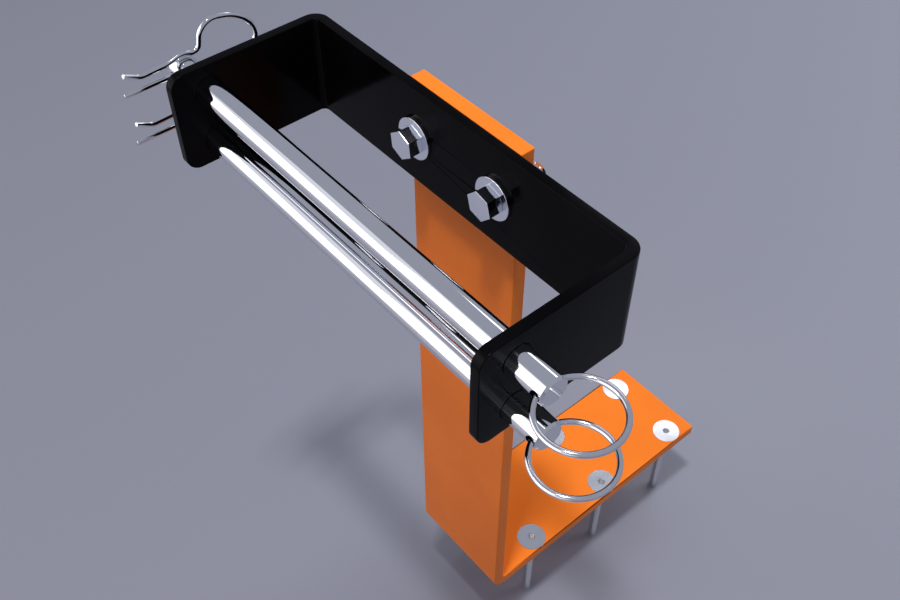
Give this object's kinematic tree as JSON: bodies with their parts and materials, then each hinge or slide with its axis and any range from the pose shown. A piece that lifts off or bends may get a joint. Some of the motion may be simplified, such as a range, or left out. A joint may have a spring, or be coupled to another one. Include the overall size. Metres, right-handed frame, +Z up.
{
  "type": "pin-locked ground bracket",
  "caption": "Ground-screwed L-bracket with a bolted U-shaped yoke, closed by cross pins with pull rings and R-clips.",
  "frame": {"origin": "centre of the foot's underside, the face that is screwed to the ground", "axes": "+Z up along the upright; +X to the right along the cross pins, towards the pull rings; +Y backwards along the foot, so the yoke opens towards -Y"},
  "size_m": [0.3112, 0.3285, 0.4953],
  "materials": {
    "orange_powder_coat": "satin orange powder coat",
    "gloss_black_coat": "gloss black coat",
    "pin_chrome": "bright polished plating",
    "ring_wire": "bright drawn wire",
    "clip_wire": "bright spring wire",
    "bolt_zinc": "bright zinc plate",
    "washer_zinc": "bright zinc plate",
    "anchor_screw_steel": "bright zinc plate"
  },
  "bodies": {
    "bracket": {"l_bracket": "orange_powder_coat", "yoke_strap": "gloss_black_coat", "left_hex_bolt": "bolt_zinc", "left_front_washer": "washer_zinc", "left_rear_washer": "washer_zinc", "left_hex_nut": "bolt_zinc", "right_hex_bolt": "bolt_zinc", "right_front_washer": "washer_zinc", "right_rear_washer": "washer_zinc", "right_hex_nut": "bolt_zinc", "front_left_anchor_screw": "anchor_screw_steel", "front_right_anchor_screw": "anchor_screw_steel", "middle_left_anchor_screw": "anchor_screw_steel", "middle_right_anchor_screw": "anchor_screw_steel", "rear_left_anchor_screw": "anchor_screw_steel", "rear_right_anchor_screw": "anchor_screw_steel"},
    "upper_pin": {"upper_pin": "pin_chrome"},
    "lower_pin": {"lower_pin": "pin_chrome"},
    "upper_ring": {"upper_pull_ring": "ring_wire"},
    "lower_ring": {"lower_pull_ring": "ring_wire"},
    "upper_clip": {"upper_r_clip": "clip_wire"},
    "lower_clip": {"lower_r_clip": "clip_wire"}
  },
  "joints": [
    {"name": "upper_pin_slide", "type": "slide", "parent": "bracket", "child": "upper_pin", "axis": [1, 0, 0], "range_m": [-0.016, 0.015]},
    {"name": "lower_pin_slide", "type": "slide", "parent": "bracket", "child": "lower_pin", "axis": [1, 0, 0], "range_m": [-0.016, 0.015]},
    {"name": "upper_ring_swing", "type": "hinge", "parent": "upper_pin", "child": "upper_ring", "pos_m": [0.1352, -0.1832, 0.39975], "axis": [0, 1, 0], "range_deg": [-90, 30]},
    {"name": "lower_ring_swing", "type": "hinge", "parent": "lower_pin", "child": "lower_ring", "pos_m": [0.1352, -0.1832, 0.37025], "axis": [0, 1, 0], "range_deg": [0, 90]},
    {"name": "upper_clip_pull", "type": "slide", "parent": "upper_pin", "child": "upper_clip", "axis": [0, 1, 0], "range_m": [0, 0.0524], "deforming": ["upper_r_clip"]},
    {"name": "lower_clip_pull", "type": "slide", "parent": "lower_pin", "child": "lower_clip", "axis": [0, 1, 0], "range_m": [0, 0.0524], "deforming": ["lower_r_clip"]}
  ]
}
